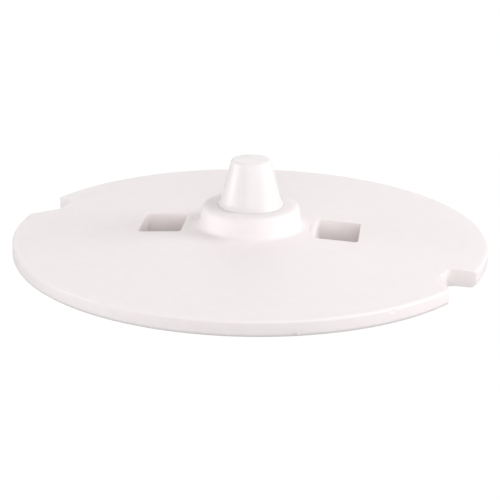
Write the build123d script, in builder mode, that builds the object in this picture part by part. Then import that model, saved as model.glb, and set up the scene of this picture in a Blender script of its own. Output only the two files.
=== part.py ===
from build123d import *
from math import atan2, cos, degrees, radians, sin
import os

# Flush pendent sprinkler head, inlet end down and room side up. All lengths in millimetres.
# The origin is the centre of the inlet end, +Z runs towards the room along the head's axis.

# ---------------------------------------------------------------- driving dimensions
# Ceiling plate
plate_r = 50.0
rim_z = 16.0                    # the plane of the ceiling, where the rim rests
rim_height = 3.33
plate_rise = 0.06               # rise of the plate per millimetre of radius towards the middle
shell = 2.0                     # wall of the plate
rim_edge_r = 0.5                # rounding of the rim's top edge
rim_foot_r = 1.0                # rounding of the rim's lower outer edge
collar_base_r = 10.73
collar_top_r = 10.25
collar_height = 4.51
collar_bore_r = 9.1
collar_edge_r = 1.2             # rounding of the collar's upper outer edge
ledge_wall = 0.7
ledge_hole_r = 7.05
ledge_edge_r = 0.15             # rounding of the hole's upper edge
collar_blend_r = 1.3            # concave rounding between plate and collar
window_r = 18.54                # middle of each window, from the axis
window_length = 9.05            # along the radius
window_width = 12.5             # across the radius
window_corner_r = 0.8
window_turn = -6.35             # degrees, the windows lie on this line through the axis
window_wall = 1.6
notches = ((150.0, 166.3), (-25.5, -39.3))   # degrees: steep side, gentle side
notch_floor_r = 44.8
notch_corner_r = 2.0
notch_steep_lean = 1.6          # degrees between the rim corner and the floor corner
notch_gentle_lean = 6.2
notch_wall = 2.0
rib_width = 1.2
rib_z = 17.4                    # lower edge of the ribs
rib_ring_r = 33.0

# Inlet body
thread_r = 10.48                # major radius of the R 1/2 thread
thread_length = 12.2
inlet_r = 6.5
orifice_r = 3.9
orifice_from_z = 6.0            # where the inlet cone ends
flange_z = 13.0
flange_r = 13.6
hex_across_flats = 24.0
floor_z = 13.5                  # bottom of the chamber around the nozzle
nozzle_r = 4.5
seat_z = 15.5
skirt_r = 11.3
skirt_z = 18.5

# Frame
frame_r = 8.9
frame_bore_r = 7.6
frame_top_z = 25.4
lip_hole_r = 6.45
lip_hole_z = 24.1               # lower end of the straight hole
lip_step_z = 22.3               # lower end of the conical lever seat
seat_slope = 3.6                # rise per millimetre of radius on the lever seat
clip_z = 23.6
clip_height = 1.2
clip_groove = 0.3

# Valve, deflector and guide pins
plug_r = 4.4
stem_r = 1.9
neck_r = 1.5
film = 0.12
plug_z = 16.1
plug_rim_z = 17.3
stem_top_z = 19.8
deflector_r = 6.2
deflector_z = 19.0
deflector_wall = 0.8
tooth_count = 12
tooth_root_r = 3.9
tooth_gap = 0.8
pin_count = 3
pin_circle_r = 5.5
pin_r = 0.45
pin_foot_r = 0.75
pin_foot_z = 8.1
pin_foot_height = 0.65
pin_head_r = 0.7
pin_head_height = 0.35
well_r = 0.95
well_z = 7.7
ring_z = 17.2
ring_height = 1.2
ring_hole_r = 4.7
pin_hole_r = 0.5

# Saddle and load screw
saddle_r = 6.15
saddle_z = 20.7
saddle_top_z = 21.7
pad_x = 5.7
pad_length = 0.7
pad_width = 3.2
pad_top_z = 22.7
screw_r = 1.5
screw_top_z = 22.6
screw_tip_z = 19.42

# Levers and their support
pivot_x = 2.2
pivot_z = 25.2
lever_tip_x = 6.95
lever_tip_z = 23.0              # middle of the lever at lever_tip_x
lever_half = 0.6                # half of the lever's thickness
lever_width = 3.8
lever_eye_r = 0.85
lever_hole_r = 0.45
lever_pin_r = 0.4
lever_seat_gap = 0.09
support_x = 3.1
support_y = 2.9
support_slot = 2.0              # half of the gap between the cheeks
support_web = 1.25
support_z = 24.5
support_top_z = 26.1

# Heat-sensing unit
cone_foot_r = 6.95
cone_foot_z = 26.1
cone_foot_height = 0.2
cone_base_r = 6.39              # where the foot's flare meets the straight cone
cone_base_z = 26.95
cone_top_r = 4.12
cone_top_z = 35.97
cone_edge_r = 0.6
cone_roof_z = 34.9
base_disc_r = 6.0
base_disc_z = 26.35
base_disc_wall = 0.5
cup_r = 3.0
cup_bore_r = 2.4
cup_z = 28.2
cup_roof_z = 34.0
plunger_r = 1.2
plunger_head_r = 2.3
plunger_head_z = 31.2
pellet_z = 32.0
insulator_z = 28.4
insulator_height = 1.4
fin_r = 5.1
fin_z = 28.5
fin_wall = 0.4

# ---------------------------------------------------------------- derived heights
rim_top_z = rim_z + rim_height


def plate_top(radius):
    """Height of the plate's upper face at a radius."""
    return rim_top_z + plate_rise * (plate_r - radius)


collar_foot_z = plate_top(collar_base_r)
ledge_z = collar_foot_z + collar_height
wall_join_z = plate_top(notch_floor_r) - shell / 2     # inside the plate's wall everywhere


def polar(radius, angle):
    """Point at a radius and an angle in degrees."""
    return (radius * cos(radians(angle)), radius * sin(radians(angle)))


def turn(outline, radii=0.0, mode=Mode.ADD):
    """Revolve a closed outline of (radius, height) points about the vertical axis."""
    with BuildSketch(Plane.XZ) as profile:
        with BuildLine():
            FilletPolyline(*outline, radius=radii, close=True)
        make_face()
    revolve(profile.sketch, axis=Axis.Z, mode=mode)


def ring(inner, outer, low, high):
    """Plain ring between two radii and two heights."""
    turn([(inner, low), (outer, low), (outer, high), (inner, high)])


def notch_face(steep, gentle):
    """Outline of one rim notch, open towards the outside of the rim."""
    way = 1 if gentle > steep else -1
    floor_steep = polar(notch_floor_r, steep + way * notch_steep_lean)
    floor_gentle = polar(notch_floor_r, gentle - way * notch_gentle_lean)
    rim_steep = polar(plate_r, steep)
    rim_gentle = polar(plate_r, gentle)
    beyond = 0.8
    out_steep = tuple(a + beyond * (a - b) for a, b in zip(rim_steep, floor_steep))
    out_gentle = tuple(a + beyond * (a - b) for a, b in zip(rim_gentle, floor_gentle))
    with BuildSketch() as face:
        with BuildLine():
            FilletPolyline(
                out_steep, floor_steep, floor_gentle, out_gentle,
                radius=[0, notch_corner_r, notch_corner_r, 0], close=True,
            )
        make_face()
    return face.sketch


def save(piece, label):
    """Name a finished piece and write it."""
    piece.part.label = label
    export_step(piece.part, f"parts/{label}.step")


os.makedirs("parts", exist_ok=True)

# ---------------------------------------------------------------- ceiling plate
with BuildPart() as ceiling_plate:
    # shallow conical shell with a short rim, and the collar with its ledge
    turn(
        [
            (plate_r - shell, rim_z),
            (plate_r, rim_z),
            (plate_r, rim_top_z),
            (collar_base_r, collar_foot_z),
            (collar_top_r, ledge_z),
            (ledge_hole_r, ledge_z),
            (ledge_hole_r, ledge_z - ledge_wall),
            (collar_bore_r, ledge_z - ledge_wall),
            (collar_bore_r, plate_top(collar_bore_r) - shell),
            (plate_r - shell, plate_top(plate_r - shell) - shell),
        ],
        [0, rim_foot_r, rim_edge_r, collar_blend_r, collar_edge_r, ledge_edge_r, 0, 0, 0.3, 0],
    )
    # walls of the windows, down to the plane of the rim
    with BuildSketch(Plane.XY.offset(rim_z)):
        with PolarLocations(window_r, 2, start_angle=window_turn):
            RectangleRounded(
                window_length + 2 * window_wall,
                window_width + 2 * window_wall,
                window_corner_r + window_wall,
            )
    extrude(amount=wall_join_z - rim_z + 0.8)
    # walls round the rim notches
    for steep_angle, gentle_angle in notches:
        with BuildSketch(Plane.XY.offset(rim_z)):
            add(notch_face(steep_angle, gentle_angle))
            offset(amount=notch_wall)
            Circle(plate_r - rim_foot_r, mode=Mode.INTERSECT)
        extrude(amount=wall_join_z - rim_z)
    # ribs under the shell
    rib_from_r = skirt_r + 1.5
    rib_to_r = plate_r - shell / 2
    for side in (90, 270):
        with BuildSketch(Plane.XY.offset(rib_z)):
            with PolarLocations((rib_from_r + rib_to_r) / 2, 3, start_angle=side - 45,
                                angular_range=90, endpoint=True):
                Rectangle(rib_to_r - rib_from_r, rib_width)
        extrude(amount=wall_join_z - rib_z)
    ring(rib_ring_r - rib_width / 2, rib_ring_r + rib_width / 2, rib_z, wall_join_z + 0.5)
    # the windows and the notches themselves
    with BuildSketch(Plane.XY.offset(rim_z - 1)):
        with PolarLocations(window_r, 2, start_angle=window_turn):
            RectangleRounded(window_length, window_width, window_corner_r)
    extrude(amount=ledge_z - rim_z, mode=Mode.SUBTRACT)
    for steep_angle, gentle_angle in notches:
        with BuildSketch(Plane.XY.offset(rim_z - 1)):
            add(notch_face(steep_angle, gentle_angle))
        extrude(amount=ledge_z - rim_z, mode=Mode.SUBTRACT)
save(ceiling_plate, "ceiling_plate")

# ---------------------------------------------------------------- inlet body
with BuildPart() as body:
    turn(
        [
            (inlet_r, 0),
            (thread_r - 0.9, 0),
            (thread_r, 1.0),
            (thread_r, thread_length),
            (thread_r - 0.9, thread_length + 0.3),
            (thread_r - 0.9, flange_z),
            (flange_r - 0.7, flange_z),
            (flange_r, flange_z + 0.6),
            (flange_r, rim_z - 0.6),
            (flange_r - 0.7, rim_z),
            (skirt_r, rim_z),
            (skirt_r, skirt_z),
            (frame_r, skirt_z),
            (frame_r, floor_z),
            (nozzle_r, floor_z),
            (nozzle_r, seat_z),
            (orifice_r, seat_z),
            (orifice_r, orifice_from_z),
        ],
    )
    # six flats for the wrench
    with BuildSketch(Plane.XY.offset(flange_z)):
        Circle(flange_r + 1)
        RegularPolygon(hex_across_flats / 2, 6, major_radius=False, mode=Mode.SUBTRACT)
    extrude(amount=rim_z - flange_z, mode=Mode.SUBTRACT)
    # wells for the feet of the guide pins
    with BuildSketch(Plane.XY.offset(well_z)):
        with PolarLocations(pin_circle_r, pin_count, start_angle=90):
            Circle(well_r)
    extrude(amount=floor_z - well_z, mode=Mode.SUBTRACT)
save(body, "body")

# ---------------------------------------------------------------- frame
with BuildPart() as frame:
    turn(
        [
            (frame_bore_r, floor_z),
            (frame_r, floor_z),
            (frame_r, clip_z - 0.1),
            (frame_r - clip_groove, clip_z - 0.1),
            (frame_r - clip_groove, clip_z + clip_height + 0.1),
            (frame_r, clip_z + clip_height + 0.1),
            (frame_r, frame_top_z),
            (lip_hole_r, frame_top_z),
            (lip_hole_r, lip_hole_z),
            (lip_hole_r + (lip_hole_z - lip_step_z) / seat_slope, lip_step_z),
            (frame_bore_r, lip_step_z),
        ],
    )
    # shallow slots for the fitting key
    with BuildSketch(Plane.XY.offset(frame_top_z - 0.4)):
        with PolarLocations((frame_r + lip_hole_r) / 2, 4, start_angle=45):
            Rectangle(frame_r - lip_hole_r + 1, 2.0)
    extrude(amount=1, mode=Mode.SUBTRACT)
save(frame, "frame")

with BuildPart() as guide_ring:
    ring(ring_hole_r, frame_bore_r, ring_z, ring_z + ring_height)
    with BuildSketch(Plane.XY.offset(ring_z)):
        with PolarLocations(pin_circle_r, pin_count, start_angle=90):
            Circle(pin_hole_r)
    extrude(amount=ring_height, mode=Mode.SUBTRACT)
save(guide_ring, "guide_ring")

# spring band in the frame's groove, with three bumps that grip the plate's collar
with BuildPart() as plate_clip:
    bump_r = 0.3
    with BuildSketch(Plane.XY.offset(clip_z)):
        Circle(frame_r + 0.02)
        with PolarLocations(collar_bore_r - 0.05 - bump_r, 3, start_angle=90):
            Circle(bump_r)
        Circle(frame_r - clip_groove + 0.02, mode=Mode.SUBTRACT)
        with Locations((0, -frame_r)):
            Rectangle(3.6, 2, mode=Mode.SUBTRACT)
    extrude(amount=clip_height)
save(plate_clip, "plate_clip")

# ---------------------------------------------------------------- valve and deflector
with BuildPart() as seal_film:
    with BuildSketch(Plane.XY.offset(seat_z)):
        Circle(nozzle_r - 0.05)
    extrude(amount=film)
save(seal_film, "seal_film")

# the disc spring is slightly conical: it bears on the film outside and on the plug inside
with BuildPart() as disc_spring:
    spring_low = seat_z + film
    spring_wall = 0.35
    turn(
        [
            (neck_r + 0.05, plug_z - spring_wall),
            (plug_r - 0.05, spring_low),
            (plug_r - 0.05, spring_low + spring_wall),
            (neck_r + 0.05, plug_z),
        ],
    )
save(disc_spring, "disc_spring")

with BuildPart() as valve_plug:
    turn(
        [
            (0, seat_z + film),
            (neck_r, seat_z + film),
            (neck_r, plug_z),
            (plug_r, plug_z),
            (plug_r, plug_rim_z),
            (stem_r, plug_rim_z),
            (stem_r, stem_top_z),
            (0.9, stem_top_z),
            (0, stem_top_z - 0.45),
        ],
        [0, 0, 0, 0.1, 0.3, 0.3, 0.2, 0, 0],
    )
save(valve_plug, "valve_plug")

with BuildPart() as deflector:
    ring(stem_r, deflector_r, deflector_z, deflector_z + deflector_wall)
    with BuildSketch(Plane.XY.offset(deflector_z)):
        slot_length = deflector_r - tooth_root_r + 1
        half_pitch = 180 / tooth_count
        with PolarLocations(tooth_root_r + slot_length / 2, tooth_count, start_angle=half_pitch):
            Rectangle(slot_length, tooth_gap)
        with PolarLocations(tooth_root_r, tooth_count, start_angle=half_pitch):
            Circle(tooth_gap / 2)
        with PolarLocations(pin_circle_r, pin_count, start_angle=90):
            Circle(pin_r)
    extrude(amount=deflector_wall, mode=Mode.SUBTRACT)
save(deflector, "deflector")

# guide pins: a foot that stops on the guide ring, a shank, and a riveted head on the deflector
for number in range(pin_count):
    pin_spot = polar(pin_circle_r, 90 + number * 360 / pin_count)
    shank_z = pin_foot_z + pin_foot_height
    head_z = deflector_z + deflector_wall
    with BuildPart() as guide_pin:
        with BuildSketch(Plane.XY.offset(pin_foot_z)):
            with Locations(pin_spot):
                Circle(pin_foot_r)
        extrude(amount=pin_foot_height)
        with BuildSketch(Plane.XY.offset(shank_z)):
            with Locations(pin_spot):
                Circle(pin_r)
        extrude(amount=head_z - shank_z)
        with BuildSketch(Plane.XY.offset(head_z)):
            with Locations(pin_spot):
                Circle(pin_head_r)
        extrude(amount=pin_head_height)
        fillet(guide_pin.edges().group_by(Axis.Z)[-1], radius=0.2)
    save(guide_pin, f"guide_pin_{number + 1}")

# ---------------------------------------------------------------- saddle and load screw
with BuildPart() as saddle:
    turn(
        [
            (screw_r, saddle_z),
            (saddle_r, saddle_z),
            (saddle_r, saddle_top_z),
            (screw_r, saddle_top_z),
        ],
        [0, 0.3, 0.1, 0],
    )
    # raised pads under the levers
    with BuildSketch(Plane.XY.offset(saddle_top_z)):
        with Locations((pad_x, 0), (-pad_x, 0)):
            Rectangle(pad_length, pad_width)
        Circle(saddle_r - 0.1, mode=Mode.INTERSECT)
    extrude(amount=pad_top_z - saddle_top_z)
save(saddle, "saddle")

with BuildPart() as load_screw:
    turn(
        [
            (0, screw_tip_z),
            (0.7, screw_tip_z + 0.6),
            (screw_r, screw_tip_z + 1.0),
            (screw_r, screw_top_z),
            (0, screw_top_z),
        ],
        [0, 0, 0, 0.2, 0],
    )
    # hexagon socket
    with BuildSketch(Plane.XY.offset(screw_top_z - 1.2)):
        RegularPolygon(0.85, 6)
    extrude(amount=1.5, mode=Mode.SUBTRACT)
save(load_screw, "load_screw")

# ---------------------------------------------------------------- levers
lever_fall = atan2(pivot_z - lever_tip_z, lever_tip_x - pivot_x)
lever_reach = 7.0
with BuildPart() as lever_right:
    # eye and straight bar that falls outwards, drawn from the side
    with BuildSketch(Plane.XZ.offset(-lever_width / 2)):
        with Locations((pivot_x, pivot_z)):
            Circle(lever_eye_r)
            with Locations(Rot(0, 0, -degrees(lever_fall))):
                with Locations((lever_reach / 2, 0)):
                    Rectangle(lever_reach, 2 * lever_half)
    extrude(amount=lever_width)
    # the outer end is turned to match the frame's conical seat
    end_low_z = lip_step_z + 0.06
    end_high_z = support_top_z + 1
    seat_gap_r = lip_hole_r - lever_seat_gap
    turn(
        [
            (0, end_low_z),
            (seat_gap_r + (lip_hole_z - end_low_z) / seat_slope, end_low_z),
            (seat_gap_r, lip_hole_z),
            (seat_gap_r, end_high_z),
            (0, end_high_z),
        ],
        mode=Mode.INTERSECT,
    )
    # hole for the cross pin
    with BuildSketch(Plane.XZ.offset(-lever_width / 2)):
        with Locations((pivot_x, pivot_z)):
            Circle(lever_hole_r)
    extrude(amount=lever_width, mode=Mode.SUBTRACT)
save(lever_right, "lever_right")

with BuildPart() as lever_left:
    mirror(lever_right.part, about=Plane.YZ)
save(lever_left, "lever_left")

for pin_side, pin_name in ((1, "right"), (-1, "left")):
    with BuildPart() as lever_pin:
        with BuildSketch(Plane.XZ.offset(-support_y)):
            with Locations((pin_side * pivot_x, pivot_z)):
                Circle(lever_pin_r)
        extrude(amount=2 * support_y)
    save(lever_pin, f"lever_pin_{pin_name}")

with BuildPart() as lever_support:
    with BuildSketch(Plane.XY.offset(support_z)):
        RectangleRounded(2 * support_x, 2 * support_y, 0.4)
        slot_depth = support_x - support_web
        with Locations((support_web + slot_depth / 2, 0), (-support_web - slot_depth / 2, 0)):
            Rectangle(slot_depth, 2 * support_slot, mode=Mode.SUBTRACT)
    extrude(amount=support_top_z - support_z)
    with BuildSketch(Plane.XZ.offset(-support_y)):
        with Locations((pivot_x, pivot_z), (-pivot_x, pivot_z)):
            Circle(lever_pin_r)
    extrude(amount=2 * support_y, mode=Mode.SUBTRACT)
save(lever_support, "lever_support")

# ---------------------------------------------------------------- heat-sensing unit
with BuildPart() as plunger:
    turn(
        [
            (0, support_top_z),
            (plunger_r, support_top_z),
            (plunger_r, plunger_head_z),
            (plunger_head_r, plunger_head_z),
            (plunger_head_r, pellet_z),
            (0, pellet_z),
        ],
        [0, 0, 0.2, 0.15, 0.15, 0],
    )
save(plunger, "plunger")

with BuildPart() as solder_pellet:
    with BuildSketch(Plane.XY.offset(pellet_z)):
        Circle(cup_bore_r)
    extrude(amount=cup_roof_z - pellet_z)
save(solder_pellet, "solder_pellet")

with BuildPart() as cylinder:
    turn(
        [
            (cup_bore_r, cup_z),
            (cup_r, cup_z),
            (cup_r, cone_roof_z),
            (0, cone_roof_z),
            (0, cup_roof_z),
            (cup_bore_r, cup_roof_z),
        ],
        [0, 0.1, 0.2, 0, 0, 0],
    )
save(cylinder, "cylinder")

with BuildPart() as insulator_ring:
    ring(plunger_r + 0.05, cup_bore_r, insulator_z, insulator_z + insulator_height)
save(insulator_ring, "insulator_ring")

with BuildPart() as heat_fin:
    ring(cup_r, fin_r, fin_z, fin_z + fin_wall)
save(heat_fin, "heat_fin")

with BuildPart() as base_disc:
    ring(plunger_r + 0.3, base_disc_r, base_disc_z, base_disc_z + base_disc_wall)
save(base_disc, "base_disc")

with BuildPart() as heat_cone:
    recess_r = base_disc_r
    recess_top_z = base_disc_z + base_disc_wall
    turn(
        [
            (recess_r, cone_foot_z),
            (cone_foot_r, cone_foot_z),
            (cone_foot_r, cone_foot_z + cone_foot_height),
            (cone_base_r, cone_base_z),
            (cone_top_r, cone_top_z),
            (0, cone_top_z),
            (0, cone_roof_z),
            (cup_r + 0.4, cone_roof_z),
            (recess_r - 0.15, recess_top_z),
            (recess_r, recess_top_z),
        ],
        [0.15, 0.06, 0.1, 1.5, cone_edge_r, 0, 0, 0.4, 0, 0],
    )
save(heat_cone, "heat_cone")
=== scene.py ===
import bpy
import bmesh
from math import cos, degrees, pi, radians, sin, tan
from mathutils import Matrix, Vector


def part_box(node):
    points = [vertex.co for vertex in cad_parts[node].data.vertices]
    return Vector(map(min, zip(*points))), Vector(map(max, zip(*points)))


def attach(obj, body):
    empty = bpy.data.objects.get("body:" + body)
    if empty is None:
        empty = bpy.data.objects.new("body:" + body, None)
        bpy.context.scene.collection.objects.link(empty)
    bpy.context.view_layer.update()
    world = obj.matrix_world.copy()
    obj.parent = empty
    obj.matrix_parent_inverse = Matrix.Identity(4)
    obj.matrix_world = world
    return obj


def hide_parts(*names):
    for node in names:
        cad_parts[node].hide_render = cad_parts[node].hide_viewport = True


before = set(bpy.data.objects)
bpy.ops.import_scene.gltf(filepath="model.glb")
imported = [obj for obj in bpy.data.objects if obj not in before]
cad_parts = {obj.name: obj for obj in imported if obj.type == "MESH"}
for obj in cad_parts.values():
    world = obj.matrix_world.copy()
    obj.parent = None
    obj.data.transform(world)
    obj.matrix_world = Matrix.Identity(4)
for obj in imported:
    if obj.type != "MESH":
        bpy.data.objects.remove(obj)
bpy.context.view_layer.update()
MM = 0.001


# ------------------------------------------------------------------ sizes, in millimetres
def low(node):
    """Lowest corner of a CAD node."""
    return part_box(node)[0] / MM


def high(node):
    """Highest corner of a CAD node."""
    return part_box(node)[1] / MM


PLATE_R = 50.0
RIM_Z = low("ceiling_plate").z
RIM_HEIGHT = 3.33
RIM_TOP = RIM_Z + RIM_HEIGHT
RISE = 0.06                     # rise of the face for each millimetre towards the axis
SHELL = 2.0                     # wall thickness
LEDGE_Z = high("ceiling_plate").z
COLLAR_BASE_R = 10.73
COLLAR_TOP_R = 10.25
COLLAR_BORE_R = 9.1
LEDGE_HOLE_R = 6.965            # tighter than the CAD's 7.05, so the groove stays a fine line
LEDGE_WALL = 0.7
WINDOW_R = 18.54
WINDOW_SIZE = (9.05, 12.5)
WINDOW_TURN = -6.35
WINDOW_WALL = 1.6
WINDOW_CORNER = 0.8
SHAFT_CORNER = 2.4
NOTCHES = ((150.0, 166.3), (-25.5, -39.3))   # degrees: steep side, gentle side
NOTCH_FLOOR_R = 44.8
NOTCH_WALL = 2.0
RIB_RING = (32.4, 33.6)         # inner and outer radius
RIB_RING_LOW = 1.45             # ring's and ribs' lower edges above the rim's
RIB_LOW = 1.4
RIB_ANGLES = (45, 90, 135, 225, 270, 315)
MARK_ANGLES = (22, 67, 112, 202, 247, 292)
MARK_RADII = (26.0, 40.0)
# rings of vertices on the face and under it, so that no face grows long and thin
PLATE_RINGS = (46.5, 43.5, 38.0, 32.0, 27.0, 24.4, 21.5, 18.5, 15.6, 13.2)


def plate_top(radius):
    """Height of the plate's upper face."""
    return RIM_TOP + RISE * (PLATE_R - radius)


# ------------------------------------------------------------------ mesh helpers
def rounded(points, radii, closed=False, steps=5):
    """Turn a polyline with a radius for each corner into a finer one with arcs."""
    result = []
    count = len(points)
    for i, (corner, radius) in enumerate(zip(points, radii)):
        at_end = not closed and i in (0, count - 1)
        if radius == 0 or at_end:
            result.append(tuple(corner))
            continue
        here = Vector(corner)
        back = (Vector(points[i - 1]) - here).normalized()
        ahead = (Vector(points[(i + 1) % count]) - here).normalized()
        half = back.angle(ahead) / 2
        reach = radius / tan(half)
        centre = here + (back + ahead).normalized() * (radius / sin(half))
        start = here + back * reach - centre
        sweep = start.angle_signed(here + ahead * reach - centre)
        for k in range(steps + 1):
            turned = start.copy()
            turned.rotate(Matrix.Rotation(-sweep * k / steps, 2))
            result.append(tuple(centre + turned))
    return result


def finish_mesh(obj, sharp=32):
    """Smooth shading with crisp edges where faces meet at more than an angle."""
    for polygon in obj.data.polygons:
        polygon.use_smooth = True
    obj.data.set_sharp_from_angle(angle=radians(sharp))
    return obj


def even_shading(obj):
    """Let large faces set the normals, so that rounded edges do not streak across them."""
    weighted = obj.modifiers.new("normals", "WEIGHTED_NORMAL")
    weighted.mode = "FACE_AREA"
    weighted.weight = 100
    weighted.keep_sharp = True
    return apply_modifiers(obj)


def new_object(name, bm):
    """Put a finished bmesh, drawn in millimetres, into the scene in metres."""
    bmesh.ops.scale(bm, vec=(MM, MM, MM), verts=bm.verts)
    bmesh.ops.recalc_face_normals(bm, faces=bm.faces)
    mesh = bpy.data.meshes.new(name)
    bm.to_mesh(mesh)
    bm.free()
    obj = bpy.data.objects.new(name, mesh)
    bpy.context.scene.collection.objects.link(obj)
    return obj


def lathe(name, profile, segments=192, shape=None):
    """Revolve a closed (radius, height) outline. shape(r, z, angle) may move each point."""
    bm = bmesh.new()
    rings = []
    for r, z in profile:
        if r < 1e-6:
            rings.append([bm.verts.new((0, 0, z))])
            continue
        loop = []
        for k in range(segments):
            angle = 2 * pi * k / segments
            rr, zz = shape(r, z, angle) if shape else (r, z)
            loop.append(bm.verts.new((rr * cos(angle), rr * sin(angle), zz)))
        rings.append(loop)
    for a, b in zip(rings, rings[1:] + rings[:1]):
        if len(a) == 1 and len(b) == 1:
            continue
        for k in range(segments):
            n = (k + 1) % segments
            if len(a) == 1:
                bm.faces.new((a[0], b[k], b[n]))
            elif len(b) == 1:
                bm.faces.new((a[k], a[n], b[0]))
            else:
                bm.faces.new((a[k], a[n], b[n], b[k]))
    return new_object(name, bm)


def prism(name, outline, bottom, top):
    """Upright solid over a closed plan outline."""
    bm = bmesh.new()
    lower = [bm.verts.new((x, y, bottom)) for x, y in outline]
    upper = [bm.verts.new((x, y, top)) for x, y in outline]
    bm.faces.new(lower)
    bm.faces.new(upper)
    for k in range(len(outline)):
        n = (k + 1) % len(outline)
        bm.faces.new((lower[k], lower[n], upper[n], upper[k]))
    return new_object(name, bm)


def apply_modifiers(obj):
    """Bake the modifiers into the mesh."""
    evaluated = obj.evaluated_get(bpy.context.evaluated_depsgraph_get())
    mesh = bpy.data.meshes.new_from_object(evaluated)
    obj.modifiers.clear()
    obj.data = mesh
    return obj


def combine(obj, tools, operation):
    """Join tool solids to a piece, or cut them from it, and remove the tools."""
    for tool in tools:
        step = obj.modifiers.new("join", "BOOLEAN")
        step.operation = operation
        step.solver = "EXACT"
        step.object = tool
        apply_modifiers(obj)
        bpy.data.objects.remove(tool)
    return obj


def soften(obj, width, segments=3, angle=35):
    """Round every sharp edge a little, as moulding or tumbling leaves it."""
    bevel = obj.modifiers.new("edges", "BEVEL")
    bevel.width = width * MM
    bevel.segments = segments
    bevel.limit_method = "ANGLE"
    bevel.angle_limit = radians(angle)
    bevel.use_clamp_overlap = True
    bevel.miter_outer = "MITER_ARC"
    return apply_modifiers(obj)


def place(outline, radius, angle):
    """Turn a plan outline about the axis and push it out to a radius."""
    c, s = cos(radians(angle)), sin(radians(angle))
    return [((x + radius) * c - y * s, (x + radius) * s + y * c) for x, y in outline]


def rectangle(length, width, corner, steps=5):
    """Rounded rectangle about the origin."""
    x, y = length / 2, width / 2
    return rounded([(x, -y), (x, y), (-x, y), (-x, -y)], [corner] * 4, True, steps)


def disc(radius, count=32):
    """Circle about the origin."""
    return [(radius * cos(2 * pi * k / count), radius * sin(2 * pi * k / count))
            for k in range(count)]


def polar(radius, angle):
    """Point at a radius and an angle in degrees."""
    return (radius * cos(radians(angle)), radius * sin(radians(angle)))


# ------------------------------------------------------------------ materials
class Nodes:
    """Short way to write a node material."""

    def __init__(self, name):
        self.material = bpy.data.materials.new(name)
        self.material.use_nodes = True
        self.tree = self.material.node_tree
        self.tree.nodes.clear()
        self.shader = self.add("ShaderNodeBsdfPrincipled")
        output = self.add("ShaderNodeOutputMaterial")
        self.link(self.shader.outputs[0], output.inputs[0])
        self.place = self.add("ShaderNodeTexCoord").outputs["Object"]

    def add(self, kind, **values):
        node = self.tree.nodes.new(kind)
        for key, value in values.items():
            setattr(node, key, value)
        return node

    def link(self, a, b):
        self.tree.links.new(a, b)

    def noise(self, scale, detail=3.0, stretch=(1, 1, 1)):
        """Noise with features of about 1/scale metres."""
        mapping = self.add("ShaderNodeMapping")
        mapping.inputs["Scale"].default_value = stretch
        self.link(self.place, mapping.inputs[0])
        node = self.add("ShaderNodeTexNoise")
        node.inputs["Scale"].default_value = scale
        node.inputs["Detail"].default_value = detail
        self.link(mapping.outputs[0], node.inputs["Vector"])
        return node.outputs["Fac"]

    def wave(self, kind, period, **values):
        """Fine lines with a period in millimetres."""
        node = self.add("ShaderNodeTexWave", wave_type=kind, **values)
        node.inputs["Scale"].default_value = 2 * pi / (20 * period * MM)
        node.inputs["Distortion"].default_value = 0.6
        node.inputs["Detail"].default_value = 2.0
        node.inputs["Detail Scale"].default_value = 0.4
        self.link(self.place, node.inputs["Vector"])
        return node.outputs["Fac"]

    def ramp(self, fac, stops):
        """Colour ramp with (position, colour) stops."""
        node = self.add("ShaderNodeValToRGB")
        elements = node.color_ramp.elements
        for element, (position, colour) in zip(elements, (stops[0], stops[-1])):
            element.position = position
            element.color = (*colour, 1)
        for position, colour in stops[1:-1]:
            element = elements.new(position)
            element.color = (*colour, 1)
        self.link(fac, node.inputs[0])
        return node.outputs[0]

    def span(self, fac, lowest, highest, start=0.3, end=0.7):
        """Map a noise's middle range to a range of values."""
        node = self.add("ShaderNodeMapRange")
        for key, value in (("From Min", start), ("From Max", end),
                           ("To Min", lowest), ("To Max", highest)):
            node.inputs[key].default_value = value
        self.link(fac, node.inputs["Value"])
        return node.outputs[0]

    def mix(self, fac, a, b, blend="MIX"):
        """Mix two colours; a or b may be a plain colour."""
        node = self.add("ShaderNodeMix", data_type="RGBA", blend_type=blend)
        if isinstance(fac, float):
            node.inputs[0].default_value = fac
        else:
            self.link(fac, node.inputs[0])
        for value, socket in ((a, node.inputs[6]), (b, node.inputs[7])):
            if isinstance(value, tuple):
                socket.default_value = (*value, 1)
            else:
                self.link(value, socket)
        return node.outputs[2]

    def bump(self, height, depth, strength, under=None):
        """Bump of a depth in millimetres, over another bump."""
        node = self.add("ShaderNodeBump")
        node.inputs["Strength"].default_value = strength
        node.inputs["Distance"].default_value = depth * MM
        self.link(height, node.inputs["Height"])
        if under:
            self.link(under, node.inputs["Normal"])
        return node.outputs[0]

    def edge(self, start, end):
        """1 on worn outer edges, 0 elsewhere."""
        geometry = self.add("ShaderNodeNewGeometry")
        return self.span(geometry.outputs["Pointiness"], 0.0, 1.0, start, end)


def shade(value, tint):
    """A grey value with a tint."""
    return tuple(min(value * t, 1.0) for t in tint)


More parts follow.
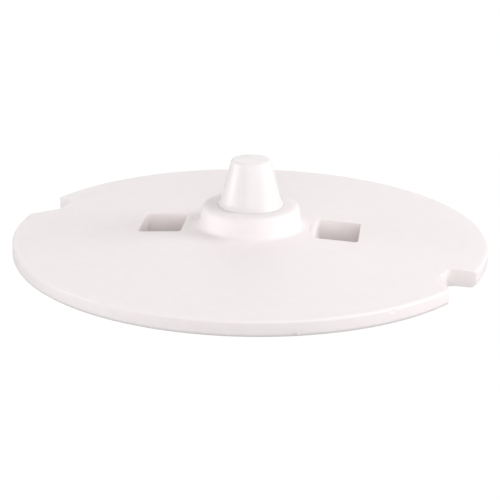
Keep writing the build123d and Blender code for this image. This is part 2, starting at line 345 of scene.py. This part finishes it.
def moulded_white(name, value, roughness, grain):
    """White moulded plastic or enamel: faint mottling, fine grain and soft waviness."""
    m = Nodes(name)
    tint = (1.0, 0.930, 0.933)
    mottle = m.ramp(m.noise(420, 5), [(0.30, shade(value * 0.988, tint)),
                                      (0.55, shade(value, tint)),
                                      (0.80, shade(value * 1.008, tint))])
    cloud = m.ramp(m.noise(38, 2), [(0.35, (0.993, 0.993, 0.994)), (0.65, (1, 1, 1))])
    base = m.mix(1.0, mottle, cloud, "MULTIPLY")
    specks = m.ramp(m.noise(2600, 1), [(0.735, (1, 1, 1)), (0.76, (0.93, 0.925, 0.92))])
    base = m.mix(1.0, base, specks, "MULTIPLY")
    m.link(base, m.shader.inputs["Base Color"])
    gloss = m.span(m.noise(900, 4), roughness - 0.06, roughness + 0.07)
    m.link(gloss, m.shader.inputs["Roughness"])
    m.shader.inputs["Specular IOR Level"].default_value = 0.42
    m.shader.inputs["Subsurface Weight"].default_value = 0.30
    m.shader.inputs["Subsurface Radius"].default_value = (1.0, 0.92, 0.90)
    m.shader.inputs["Subsurface Scale"].default_value = 0.0025
    wavy = m.bump(m.noise(70, 2), 0.12, 0.35)
    fine = m.bump(m.noise(5200, 3), 0.010, grain, wavy)
    m.link(fine, m.shader.inputs["Normal"])
    return m.material


def turned_metal(name, dark, bright, roughness, period=0.16, marks=0.45, metal=1.0):
    """Lathe-turned metal: rings round the axis on end faces, lines round the outside."""
    m = Nodes(name)
    stain = m.ramp(m.noise(240, 5), [(0.30, dark), (0.70, bright)])
    fine = m.ramp(m.noise(1800, 4), [(0.25, (0.90, 0.90, 0.90)), (0.60, (1, 1, 1))])
    base = m.mix(1.0, stain, fine, "MULTIPLY")
    rubbed = tuple(min(c * 1.12 + 0.04, 1.0) for c in bright)
    base = m.mix(m.edge(0.52, 0.62), base, rubbed)
    m.link(base, m.shader.inputs["Base Color"])
    m.shader.inputs["Metallic"].default_value = metal
    gloss = m.span(m.noise(700, 5), roughness - 0.08, roughness + 0.10)
    m.link(gloss, m.shader.inputs["Roughness"])
    lines = m.bump(m.wave("BANDS", period, bands_direction="Z"), 0.012, marks)
    rings = m.bump(m.wave("RINGS", period * 1.3, rings_direction="Z"), 0.012, marks, lines)
    pits = m.bump(m.noise(3200, 4), 0.006, 0.35, rings)
    m.link(pits, m.shader.inputs["Normal"])
    return m.material


def pressed_metal(name, dark, bright, roughness, along=(1, 9, 1)):
    """Stamped or rolled metal: short brushed streaks and handling marks."""
    m = Nodes(name)
    streaks = m.noise(1500, 5, along)
    stain = m.ramp(m.noise(300, 5), [(0.30, dark), (0.70, bright)])
    fine = m.ramp(streaks, [(0.30, (0.88, 0.88, 0.89)), (0.65, (1, 1, 1))])
    base = m.mix(1.0, stain, fine, "MULTIPLY")
    rubbed = tuple(min(c * 1.10 + 0.05, 1.0) for c in bright)
    base = m.mix(m.edge(0.52, 0.62), base, rubbed)
    m.link(base, m.shader.inputs["Base Color"])
    m.shader.inputs["Metallic"].default_value = 1.0
    m.link(m.span(streaks, roughness - 0.08, roughness + 0.12), m.shader.inputs["Roughness"])
    scratches = m.bump(streaks, 0.010, 0.5)
    dents = m.bump(m.noise(600, 3), 0.020, 0.25, scratches)
    m.link(dents, m.shader.inputs["Normal"])
    return m.material


def cast_matt(name, dark, bright, roughness, metal, grain):
    """Cast, sintered or waxy material: mottled colour and a grainy skin."""
    m = Nodes(name)
    middle = tuple((a + b) / 2 for a, b in zip(dark, bright))
    base = m.ramp(m.noise(900, 6), [(0.28, dark), (0.50, middle), (0.72, bright)])
    m.link(base, m.shader.inputs["Base Color"])
    m.shader.inputs["Metallic"].default_value = metal
    gloss = m.span(m.noise(1500, 5), roughness - 0.08, roughness + 0.10)
    m.link(gloss, m.shader.inputs["Roughness"])
    lumps = m.bump(m.noise(1100, 3), 0.030, grain)
    skin = m.bump(m.noise(5000, 4), 0.012, grain, lumps)
    m.link(skin, m.shader.inputs["Normal"])
    return m.material


WHITE = moulded_white("white_moulding", 0.92, 0.46, 0.30)
ENAMEL = moulded_white("white_enamel_coat", 0.93, 0.36, 0.18)
BRASS = turned_metal("turned_brass", (0.56, 0.37, 0.13), (0.80, 0.60, 0.27), 0.30)
COPPER = turned_metal("turned_copper_alloy", (0.50, 0.24, 0.13), (0.74, 0.42, 0.26), 0.32, 0.12)
BRONZE = pressed_metal("rolled_bronze", (0.40, 0.23, 0.10), (0.66, 0.43, 0.22), 0.33)
STEEL = pressed_metal("rolled_steel", (0.27, 0.27, 0.28), (0.48, 0.48, 0.49), 0.33)
PIN_STEEL = turned_metal("drawn_steel", (0.30, 0.30, 0.31), (0.52, 0.52, 0.53), 0.30, 0.10, 0.3)
SOLDER = cast_matt("cast_solder", (0.34, 0.34, 0.35), (0.60, 0.60, 0.61), 0.48, 1.0, 0.6)
CERAMIC = cast_matt("sintered_ceramic", (0.68, 0.64, 0.55), (0.84, 0.80, 0.72), 0.62, 0.0, 0.5)
PTFE = cast_matt("ptfe_film", (0.82, 0.82, 0.81), (0.90, 0.90, 0.89), 0.38, 0.0, 0.2)


def dress(obj, material, body, node):
    """Give a piece its material and let it stand for its CAD node."""
    obj.data.materials.clear()
    obj.data.materials.append(material)
    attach(obj, body)
    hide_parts(node)
    return obj


# ------------------------------------------------------------------ ceiling plate
def notch_outline(steep, gentle, wall=0.0):
    """Plan outline of a rim notch; with a wall, the outline of the material round it."""
    way = 1 if gentle > steep else -1
    spread = degrees(wall / NOTCH_FLOOR_R)
    floor_r = NOTCH_FLOOR_R - wall
    floor_steep = polar(floor_r, steep + way * (1.6 - spread))
    floor_gentle = polar(floor_r, gentle - way * (6.2 - spread * 1.15))
    if wall:
        first, last = steep - way * spread, gentle + way * spread * 1.3
        outer = [polar(PLATE_R - 1.05, last + (first - last) * k / 12) for k in range(13)]
        corners = rounded([outer[-1], floor_steep, floor_gentle, outer[0]], [0, 3.6, 3.6, 0])
        return corners + outer[1:-1]
    rim_steep, rim_gentle = Vector(polar(PLATE_R, steep)), Vector(polar(PLATE_R, gentle))
    out_steep = rim_steep + (rim_steep - Vector(floor_steep)) * 0.8
    out_gentle = rim_gentle + (rim_gentle - Vector(floor_gentle)) * 0.8
    return rounded([out_steep, floor_steep, floor_gentle, out_gentle], [0, 2.0, 2.0, 0], steps=8)


def nick(angle, z, width, depth):
    """Irregular lump that leaves a small chip in the rim."""
    bm = bmesh.new()
    bmesh.ops.create_icosphere(bm, subdivisions=2, radius=1.0)
    for vert in bm.verts:
        x, y, z_in = vert.co
        wobble = 1 + 0.18 * sin(5 * x + 3 * z_in + angle) * cos(4 * y - angle)
        vert.co = Vector((depth * 1.6 * x, width / 2 * y, 0.45 * width * z_in)) * wobble
    reach = PLATE_R + depth * 0.6 - (0.35 if z < RIM_Z + 1 else 0.0)
    bmesh.ops.translate(bm, vec=(reach, 0, z), verts=bm.verts)
    bmesh.ops.rotate(bm, matrix=Matrix.Rotation(radians(angle), 3, "Z"), verts=bm.verts)
    return new_object("nick", bm)


def bead(radius, angle, length, width, height):
    """Low rounded bead that stands on the plate's face, its length square to the radius."""
    bm = bmesh.new()
    bmesh.ops.create_uvsphere(bm, u_segments=32, v_segments=16, radius=1.0)
    for vert in bm.verts:
        x, y, z = vert.co
        vert.co = Vector((0.6 * width * x, length / 2 * y, 2.3 * height * z))
    bmesh.ops.translate(bm, vec=(radius, 0, plate_top(radius) - 1.3 * height), verts=bm.verts)
    bmesh.ops.rotate(bm, matrix=Matrix.Rotation(radians(angle), 3, "Z"), verts=bm.verts)
    return new_object("bead", bm)


# angle, height, width and depth of each chip
NICKS = (
    (-80.4, RIM_Z + 0.6, 1.1, 0.13),
    (-79.1, RIM_Z + 1.0, 0.7, 0.10),
    (-58.7, RIM_TOP - 0.1, 0.9, 0.16),
    (-57.5, RIM_TOP - 0.6, 1.4, 0.12),
    (-55.6, RIM_TOP - 0.2, 0.8, 0.12),
)


def under(radius):
    """Point on the shell's underside."""
    return (radius, plate_top(radius) - SHELL)


def build_plate():
    """Moulded plate: shell, rim, collar, window shafts, notch walls, ribs and mould marks."""
    join_z = plate_top(NOTCH_FLOOR_R) - SHELL / 2
    inner_r = PLATE_R - SHELL
    ring_in, ring_out = RIB_RING
    ring_low = RIM_Z + RIB_RING_LOW
    rib_ring = [under(ring_in), (ring_in, ring_low), (ring_out, ring_low), under(ring_out)]
    inside = [under(r) for r in reversed(PLATE_RINGS) if r < ring_in]
    outside = [under(r) for r in reversed(PLATE_RINGS) if r > ring_out]
    profile = rounded(
        [(inner_r, RIM_Z), (PLATE_R, RIM_Z), (PLATE_R, RIM_TOP)]
        + [(r, plate_top(r)) for r in PLATE_RINGS]
        + [(COLLAR_BASE_R, plate_top(COLLAR_BASE_R)), (COLLAR_TOP_R, LEDGE_Z),
           (LEDGE_HOLE_R, LEDGE_Z), (LEDGE_HOLE_R, LEDGE_Z - LEDGE_WALL),
           (COLLAR_BORE_R, LEDGE_Z - LEDGE_WALL), under(COLLAR_BORE_R)]
        + inside + rib_ring + outside
        + [under(inner_r)],
        [0.25, 1.0, 0.5] + [0] * len(PLATE_RINGS) + [1.1, 1.2, 0.1, 0.1, 0.15, 0.3]
        + [0] * len(inside) + [0.15, 0.2, 0.2, 0.15] + [0] * len(outside) + [0.5], True, 6)
    plate = lathe("plate_moulding", profile, 288)
    length, width = WINDOW_SIZE
    solids = []
    for turn in (WINDOW_TURN, WINDOW_TURN + 180):
        shaft = rectangle(length + 2 * WINDOW_WALL, width + 2 * WINDOW_WALL, SHAFT_CORNER)
        shaft = place(shaft, WINDOW_R, turn)
        solids.append(prism("shaft", shaft, RIM_Z + 0.03, join_z + 0.8))
    for steep, gentle in NOTCHES:
        wall = notch_outline(steep, gentle, NOTCH_WALL)
        solids.append(prism("notch_wall", wall, RIM_Z + 0.03, join_z))
    for angle in RIB_ANGLES:
        rib = place([(-17.6, -0.6), (18.1, -0.6), (18.1, 0.6), (-17.6, 0.6)], 30.6, angle)
        solids.append(prism("rib", rib, RIM_Z + RIB_LOW, join_z))
    combine(plate, solids, "UNION")
    cuts = []
    for turn in (WINDOW_TURN, WINDOW_TURN + 180):
        hole = place(rectangle(length, width, WINDOW_CORNER), WINDOW_R, turn)
        cuts.append(prism("hole", hole, RIM_Z - 1, LEDGE_Z))
    for steep, gentle in NOTCHES:
        cuts.append(prism("notch", notch_outline(steep, gentle), RIM_Z - 1, LEDGE_Z))
    combine(plate, cuts, "DIFFERENCE")
    # round marks of the ejector pins on the hidden side, between the ribs
    marks = []
    for angle in MARK_ANGLES:
        for radius in MARK_RADII:
            depth = plate_top(radius) - SHELL
            mark = place(disc(1.6), radius, angle)
            marks.append(prism("mark", mark, depth - 2, depth + 0.18))
    combine(plate, marks, "DIFFERENCE")
    soften(plate, 0.22, 3, 40)
    beads = [bead(13.2, WINDOW_TURN + turn, 9.2, 1.2, 0.15) for turn in (0, 180)]
    combine(plate, beads, "UNION")
    combine(plate, [nick(*chip) for chip in NICKS], "DIFFERENCE")
    return even_shading(finish_mesh(plate, 30))


# ------------------------------------------------------------------ heat-sensing cone
CONE_TOP_R = 4.12
CONE_BASE_R = 6.39              # where the foot's flare meets the straight cone
CONE_ROOF = 1.07                # thickness of the flat top
CUP_ROOM_R = 3.4
RECESS_R = 6.0
RECESS_HEIGHT = 0.75


def build_cone():
    """Hollow cone with a low flared foot and a softly rounded top."""
    foot, top = low("heat_cone").z, high("heat_cone").z
    base_r = high("heat_cone").x
    roof = top - CONE_ROOF
    recess = foot + RECESS_HEIGHT
    profile = [(RECESS_R, foot), (base_r, foot), (base_r, foot + 0.2),
               (CONE_BASE_R, foot + 0.85), (CONE_TOP_R, top), (0, top),
               (0, roof), (CUP_ROOM_R, roof), (5.85, recess), (RECESS_R, recess)]
    radii = [0.15, 0.06, 0.1, 1.5, 0.75, 0, 0, 0.4, 0.1, 0]
    cone = lathe("cone_shell", rounded(profile, radii, True, 7), 160)
    return finish_mesh(cone, 40)


# ------------------------------------------------------------------ inlet body
THREAD_R = 10.48
THREAD_PITCH = 1.814
THREAD_DEPTH = 1.16
THREAD_END = 12.2
FLANGE = (13.0, 16.0)
HEX_HALF = 12.0


def body_shape(r, z, angle):
    """Cut the taper thread and the hexagon into the turned body."""
    if r > THREAD_R - 0.02 and 0.9 <= z <= THREAD_END + 0.01:
        phase = (z / THREAD_PITCH - angle / (2 * pi)) % 1.0
        ridge = 1 - abs(2 * phase - 1)
        ridge = min(max((ridge - 0.12) / 0.72, 0.0), 1.0)
        fade_in = min(max((z - 0.9) / 1.3, 0.0), 1.0)
        fade_out = min(max((THREAD_END - z) / 1.2, 0.0), 1.0)
        major = THREAD_R - (THREAD_END - z) / 32
        groove = THREAD_DEPTH * (1 - ridge)
        return major - groove * max(fade_in, 0.35) * (0.3 + 0.7 * fade_out), z
    if r > 11.9 and FLANGE[0] <= z <= FLANGE[1]:
        across = (angle + pi / 6) % (pi / 3) - pi / 6
        return min(r, HEX_HALF / cos(across)), z
    return r, z


def build_body():
    """Brass inlet body with thread, wrench hexagon, nozzle and wells for the pins."""
    steps = 132
    thread = [(THREAD_R, 1.0 + (THREAD_END - 1.0) * k / steps) for k in range(steps + 1)]
    lower = [(12.9 + 0.7 * k / 4, FLANGE[0] + 0.5 * k / 4) for k in range(5)]
    upper = [(13.6 - 0.7 * k / 4, FLANGE[1] - 0.5 + 0.5 * k / 4) for k in range(5)]
    profile = ([(6.3, 0.0), (6.5, 0.0), (9.3, 0.0), (9.45, 0.05)] + thread
               + [(9.58, THREAD_END + 0.35), (9.58, FLANGE[0] - 0.08), (9.66, FLANGE[0])]
               + lower + upper
               + [(11.42, 16.0), (11.3, 16.12), (11.3, 18.3), (11.1, 18.5), (9.1, 18.5),
                  (8.93, 18.33), (8.93, 13.5), (4.6, 13.5), (4.5, 13.6), (4.5, 15.3),
                  (4.35, 15.5), (4.0, 15.5), (3.9, 15.4), (3.9, 6.1), (3.95, 5.95)])
    body = lathe("inlet_body", profile, 240, body_shape)
    wells = []
    for k in range(3):
        wells.append(prism("well", place(disc(0.95, 36), 5.5, 90 + 120 * k), 7.7, 14.0))
    combine(body, wells, "DIFFERENCE")
    return finish_mesh(body, 28)


# ------------------------------------------------------------------ small pieces from the CAD
def refined(node, width, segments=2, angle=30):
    """Copy of a CAD node with its sharp edges lightly rounded."""
    bm = bmesh.new()
    bm.from_mesh(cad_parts[node].data)
    bmesh.ops.remove_doubles(bm, verts=bm.verts, dist=1e-6)
    bmesh.ops.dissolve_limit(bm, angle_limit=radians(0.4), verts=bm.verts, edges=bm.edges)
    mesh = bpy.data.meshes.new(node + "_piece")
    bm.to_mesh(mesh)
    bm.free()
    obj = bpy.data.objects.new(node + "_piece", mesh)
    bpy.context.scene.collection.objects.link(obj)
    soften(obj, width, segments, angle)
    return even_shading(finish_mesh(obj, 35))


dress(build_plate(), WHITE, "plate", "ceiling_plate")
dress(build_cone(), ENAMEL, "sensor", "heat_cone")
dress(build_body(), BRASS, "base", "body")
for node, body, slot, material, width in (
    ("frame", "base", "brass", BRASS, 0.08),
    ("guide_ring", "base", "steel", PIN_STEEL, 0.06),
    ("plate_clip", "base", "steel", STEEL, 0.05),
    ("seal_film", "valve", "ptfe", PTFE, 0.03),
    ("disc_spring", "valve", "steel", STEEL, 0.05),
    ("valve_plug", "valve", "brass", BRASS, 0.04),
    ("deflector", "valve", "copper_alloy", BRONZE, 0.07),
    ("guide_pin_1", "valve", "steel", PIN_STEEL, 0.05),
    ("guide_pin_2", "valve", "steel", PIN_STEEL, 0.05),
    ("guide_pin_3", "valve", "steel", PIN_STEEL, 0.05),
    ("saddle", "saddle", "steel", STEEL, 0.08),
    ("load_screw", "saddle", "steel", PIN_STEEL, 0.04),
    ("lever_right", "lever_right", "steel", STEEL, 0.08),
    ("lever_left", "lever_left", "steel", STEEL, 0.08),
    ("lever_pin_right", "sensor", "steel", PIN_STEEL, 0.05),
    ("lever_pin_left", "sensor", "steel", PIN_STEEL, 0.05),
    ("lever_support", "sensor", "brass", BRASS, 0.08),
    ("plunger", "sensor", "copper_alloy", COPPER, 0.05),
    ("solder_pellet", "sensor", "solder", SOLDER, 0.10),
    ("cylinder", "sensor", "copper_alloy", COPPER, 0.05),
    ("insulator_ring", "sensor", "ceramic", CERAMIC, 0.06),
    ("heat_fin", "sensor", "copper_alloy", BRONZE, 0.05),
    ("base_disc", "sensor", "copper_alloy", BRONZE, 0.06),
):
    dress(refined(node, width), material, body, node)


# ------------------------------------------------------------------ camera
def aim_camera():
    """Long lens a little above the plate, on the object's -Y side."""
    unit = PLATE_R * MM
    middle = Vector((0, 0, RIM_TOP * MM))
    distance, height_angle = 6.784 * unit, 0.3232
    yaw, pitch, roll = 0.0001, 0.0096, 0.0148
    spot = Vector((0, -distance * cos(height_angle), distance * sin(height_angle)))
    forward = -spot.normalized()
    right = Vector((1, 0, 0))
    down = -right.cross(forward)
    plain = Matrix((right, down, forward))
    turn = (Matrix(((cos(roll), -sin(roll), 0), (sin(roll), cos(roll), 0), (0, 0, 1)))
            @ Matrix(((1, 0, 0), (0, cos(pitch), -sin(pitch)), (0, sin(pitch), cos(pitch))))
            @ Matrix(((cos(yaw), 0, sin(yaw)), (0, 1, 0), (-sin(yaw), 0, cos(yaw)))))
    axes = turn @ plain
    camera_data = bpy.data.cameras.new("camera")
    camera_data.sensor_width = 36
    camera_data.lens = 36 * 3.2
    camera_data.clip_start = 0.01
    camera = bpy.data.objects.new("camera", camera_data)
    world = Matrix((axes[0], -axes[1], -axes[2])).transposed().to_4x4()
    world.translation = middle + spot
    camera.matrix_world = world
    bpy.context.scene.collection.objects.link(camera)
    bpy.context.scene.camera = camera


aim_camera()


# ------------------------------------------------------------------ studio
def plain_material(name, colour, glow=0.0):
    """Matt studio surface; with glow, an evenly lit white one."""
    m = Nodes(name)
    m.shader.inputs["Base Color"].default_value = (*colour, 1)
    m.shader.inputs["Roughness"].default_value = 0.9
    m.shader.inputs["Specular IOR Level"].default_value = 0.1
    if glow:
        m.shader.inputs["Base Color"].default_value = (0, 0, 0, 1)
        m.shader.inputs["Emission Color"].default_value = (*colour, 1)
        m.shader.inputs["Emission Strength"].default_value = glow
    return m.material


def sheet(name, half, z, material):
    """Square studio sheet at a height."""
    bm = bmesh.new()
    corners = ((-1, -1), (1, -1), (1, 1), (-1, 1))
    bm.faces.new([bm.verts.new((x * half, y * half, z)) for x, y in corners])
    mesh = bpy.data.meshes.new(name)
    bm.to_mesh(mesh)
    bm.free()
    mesh.materials.append(material)
    obj = bpy.data.objects.new(name, mesh)
    bpy.context.scene.collection.objects.link(obj)
    return obj


def soft_light(name, spot, size, power):
    """Square soft light aimed at the middle of the object."""
    data = bpy.data.lights.new(name, "AREA")
    data.shape = "RECTANGLE"
    data.size, data.size_y = size
    data.energy = power
    light = bpy.data.objects.new(name, data)
    light.location = spot
    aim = Vector((0, 0, 0.02)) - Vector(spot)
    light.rotation_euler = aim.to_track_quat("-Z", "Y").to_euler()
    bpy.context.scene.collection.objects.link(light)


# grey floor for the bounce light only; the dome behind it is the white that the camera sees
floor = sheet("floor", 3.0, 0.0, plain_material("floor_paper", (0.50, 0.50, 0.50)))
floor.visible_camera = False
dome = lathe("white_dome", [(0, -0.5), (3000, -0.5), (3000, 2000), (0, 3000)], 48)
dome.data.materials.append(plain_material("dome_glow", (1, 1, 1), 1.02))
for kind in ("diffuse", "glossy", "transmission", "shadow"):
    setattr(dome, "visible_" + kind, False)

soft_light("light_right", (0.85, 0.0, 0.23), (0.45, 0.35), 1.65)
soft_light("light_right_high", (0.72, 0.0, 0.50), (0.45, 0.35), 3.0)
soft_light("light_left", (-0.85, 0.0, 0.23), (0.45, 0.35), 1.7)
soft_light("light_left_low", (-0.85, -0.10, 0.07), (0.4, 0.12), 0.95)
soft_light("light_front", (0.0, -0.85, 0.23), (0.6, 0.35), 2.6)
soft_light("light_back", (0.0, 0.80, 0.38), (0.7, 0.4), 0.85)

scene = bpy.context.scene
scene.world = bpy.data.worlds.new("world")
scene.world.use_nodes = True
background = scene.world.node_tree.nodes["Background"]
background.inputs[0].default_value = (1, 1, 1, 1)
background.inputs[1].default_value = 0.52
scene.view_settings.view_transform = "Standard"
scene.view_settings.look = "None"
